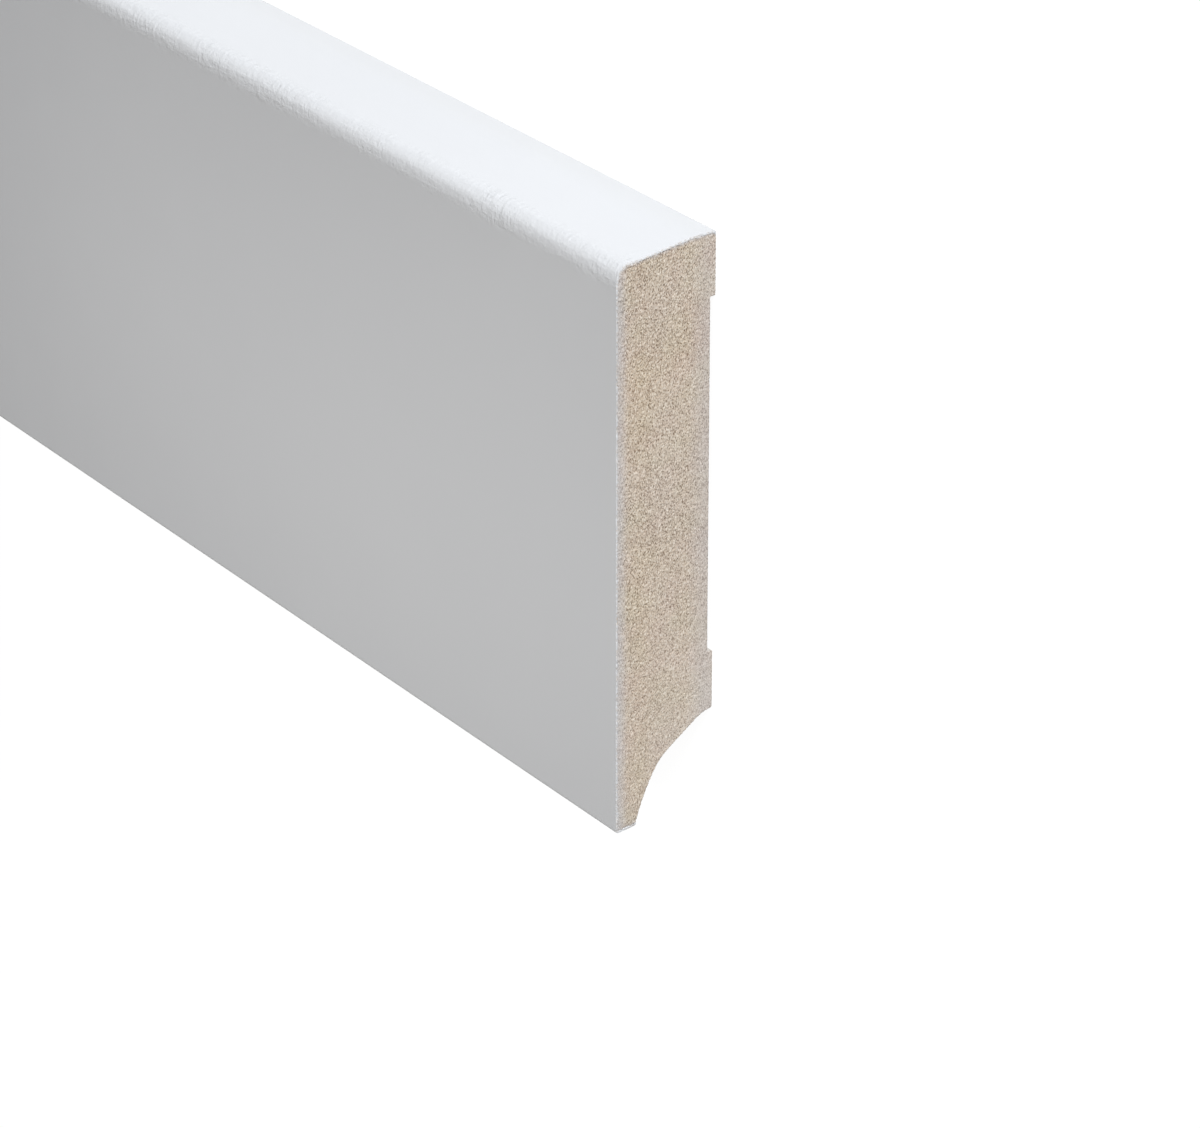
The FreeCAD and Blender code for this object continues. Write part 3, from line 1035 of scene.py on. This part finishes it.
# The painted highlight is a narrow band by height at the ledge, stronger and weaker along the board.
ledge = FOOT + RELIEF_FOOT
under = remap(tree, height, ledge + HIGHLIGHT_LOW, ledge + HIGHLIGHT_FULL)
over = remap(tree, height, ledge + HIGHLIGHT_FADES, ledge + HIGHLIGHT_HIGH, 1.0, 0.0)
highlight_patch = remap(tree, grain_of(tree, place, HIGHLIGHT_PATCH_LENGTH, detail=3.0), 0.4, 0.6, *HIGHLIGHT_PATCH)
ledge_highlight = maths(tree, "MULTIPLY", maths(tree, "MULTIPLY", under, over), highlight_patch)
feed(tree, shader.inputs["Base Color"], blend_colours(tree, ledge_highlight, brown, LEDGE_HIGHLIGHT))
shader.inputs["Roughness"].default_value = 0.8
shader.inputs["Specular IOR Level"].default_value = 0.3
passes = add_node(tree, "ShaderNodeTexWave", {"wave_type": "BANDS", "bands_direction": "X"},
                  Vector=place, Scale=1 / (WAVE_NODE_RATE * WAVE_RADIAN), Distortion=0.4)
ground = bump(tree, felt, FELT_DEPTH)
feed(tree, shader.inputs["Normal"], bump(tree, passes.outputs["Fac"], WAVE_DEPTH, ground))
report(mdf)

# %% [markdown]
# The floor is a wide pale plane at the foot of everything. It is plain white to
# the camera and to reflections, with a little diffuse in it that keeps the
# board's soft shadow. To diffuse rays it is an ordinary surface, so it
# bounces light as a studio floor does. It is a middle grey there, so that it
# doesn't light up the edges that lie close to it.

# %% Floor
FLOOR_SIZE = 60.0
FLOOR_GLOW = 0.95
FLOOR_SHOWN = (0.2, 0.2, 0.2, 1)
FLOOR_REAL = (0.4, 0.4, 0.405, 1)


def straight_rays(tree):
    """Make a value that is 1 for camera, glossy and transmission rays."""
    path = add_node(tree, "ShaderNodeLightPath")
    seen = maths(tree, "MAXIMUM", path.outputs["Is Camera Ray"], path.outputs["Is Glossy Ray"])
    return maths(tree, "MAXIMUM", seen, path.outputs["Is Transmission Ray"])


sheet = bmesh.new()
bmesh.ops.create_grid(sheet, x_segments=1, y_segments=1, size=FLOOR_SIZE / 2)
floor_mesh = bpy.data.meshes.new("floor")
sheet.to_mesh(floor_mesh)
sheet.free()
floor = bpy.data.objects.new("floor", floor_mesh)
bpy.context.scene.collection.objects.link(floor)
paper = bpy.data.materials.new("pale_floor")
paper.use_nodes = True
tree = paper.node_tree
tree.nodes.remove(tree.nodes["Principled BSDF"])
shown = add_node(tree, "ShaderNodeBsdfDiffuse", Color=FLOOR_SHOWN)
glow = add_node(tree, "ShaderNodeEmission", Color=(1, 1, 1, 1), Strength=FLOOR_GLOW)
bright = add_node(tree, "ShaderNodeAddShader")
feed(tree, bright.inputs[0], shown.outputs["BSDF"])
feed(tree, bright.inputs[1], glow.outputs["Emission"])
real = add_node(tree, "ShaderNodeBsdfDiffuse", Color=FLOOR_REAL)
choice = add_node(tree, "ShaderNodeMixShader")
feed(tree, choice.inputs[0], straight_rays(tree))
feed(tree, choice.inputs[1], real.outputs["BSDF"])
feed(tree, choice.inputs[2], bright.outputs["Shader"])
feed(tree, tree.nodes["Material Output"].inputs["Surface"], choice.outputs["Shader"])
floor_mesh.materials.append(paper)
report(paper)

# %% [markdown]
# The light is plain: a soft grey sky from all round, and one large, slightly cool
# soft lamp from above the top edge and beyond the sawn end. A sun with a wide
# angle is such a lamp, and it lights the whole length alike. The top edge then
# comes out brightest, the sawn end next and the front face last.

# %% Sky and key light
SKY = (0.25, 0.2482, 0.249, 1)
KEY_FROM = Vector((0.593, 0.798, 0.084))
KEY_STRENGTH = 2.82
KEY_COLOUR = (0.97, 1.0, 1.042)
KEY_SPREAD = math.radians(12)
world = bpy.data.worlds.new("studio")
bpy.context.scene.world = world
world.use_nodes = True
tree = world.node_tree
sky = tree.nodes["Background"]
sky.inputs["Color"].default_value = SKY
sky.inputs["Strength"].default_value = 1.0
white_wall = add_node(tree, "ShaderNodeBackground", Color=(1, 1, 1, 1), Strength=1.0)
choice = add_node(tree, "ShaderNodeMixShader")
feed(tree, choice.inputs[0], straight_rays(tree))
feed(tree, choice.inputs[1], sky.outputs["Background"])
feed(tree, choice.inputs[2], white_wall.outputs["Background"])
feed(tree, tree.nodes["World Output"].inputs["Surface"], choice.outputs["Shader"])

key = bpy.data.lights.new("key", "SUN")
key.energy = KEY_STRENGTH
key.color = KEY_COLOUR
key.angle = KEY_SPREAD
key_lamp = bpy.data.objects.new("key", key)
key_lamp.rotation_euler = KEY_FROM.to_track_quat("Z", "Y").to_euler()
bpy.context.scene.collection.objects.link(key_lamp)
print("key above the face's plane, degrees:", round(math.degrees(math.asin(KEY_FROM.normalized().z)), 1))

# %% [markdown]
# Two small lamps hang close to the sawn end: a square one on the key's side and a
# narrow strip above the face, along the board. They add a little light that fades
# along the face and towards its edges, so that the near end stands out. A lamp is
# given as its place, its two sides and its power.

# %% Near lamps
NEAR_KEY = (Vector((1.55, 0.48, 0.14)), (0.25, 0.25), 0.72)
STRIP = (Vector((1.185, -0.011, 0.105)), (0.28, 0.04), 0.0376)
STRIP_COLOUR = (0.99, 0.978, 0.955)


def soft_box(name, place, size, power, colour, aim):
    """Hang a flat lamp that shines at a point and that the camera doesn't see."""
    light = bpy.data.lights.new(name, "AREA")
    light.shape = "RECTANGLE"
    light.size, light.size_y = size
    light.energy = power
    light.color = colour
    lamp = bpy.data.objects.new(name, light)
    lamp.location = place
    lamp.rotation_euler = (place - aim).to_track_quat("Z", "Y").to_euler()
    lamp.visible_camera = False
    bpy.context.scene.collection.objects.link(lamp)


soft_box("near_key", *NEAR_KEY, KEY_COLOUR, Vector((HIGH.x, 0, 0)))
soft_box("strip", *STRIP, STRIP_COLOUR, Vector((STRIP[0].x, STRIP[0].y, 0)))
print("near lamps, watts:", NEAR_KEY[2], STRIP[2])

# %% [markdown]
# The camera was solved from the photograph's edges: it stands two thirds of a
# metre off the sawn end with a long lens, above the front face, and the board's
# top edge is up in the picture.

# %% Camera
CAMERA_PLACE = Vector((1.69592, 0.26982, 0.35238))
CAMERA_AIM = Vector((1.2, -0.001077, 0.017476))
CAMERA_ROLL = math.radians(-0.032)
LENS, SENSOR = 156.77, 36.0
view = (CAMERA_AIM - CAMERA_PLACE).normalized()
right = view.cross(UP).normalized()
turn = Matrix((right, right.cross(view), -view)).transposed().to_4x4()
camera = bpy.data.cameras.new("camera")
camera.sensor_width = SENSOR
camera.lens = LENS
camera.clip_start = 0.01
camera.clip_end = 100.0
camera_object = bpy.data.objects.new("camera", camera)
camera_object.matrix_world = Matrix.Translation(CAMERA_PLACE) @ turn @ Matrix.Rotation(CAMERA_ROLL, 4, "Z")
bpy.context.scene.collection.objects.link(camera_object)
bpy.context.scene.camera = camera_object
bpy.context.scene.view_settings.view_transform = "Standard"
print("camera to the sawn end, m:", round((CAMERA_PLACE - CAMERA_AIM).length, 3))
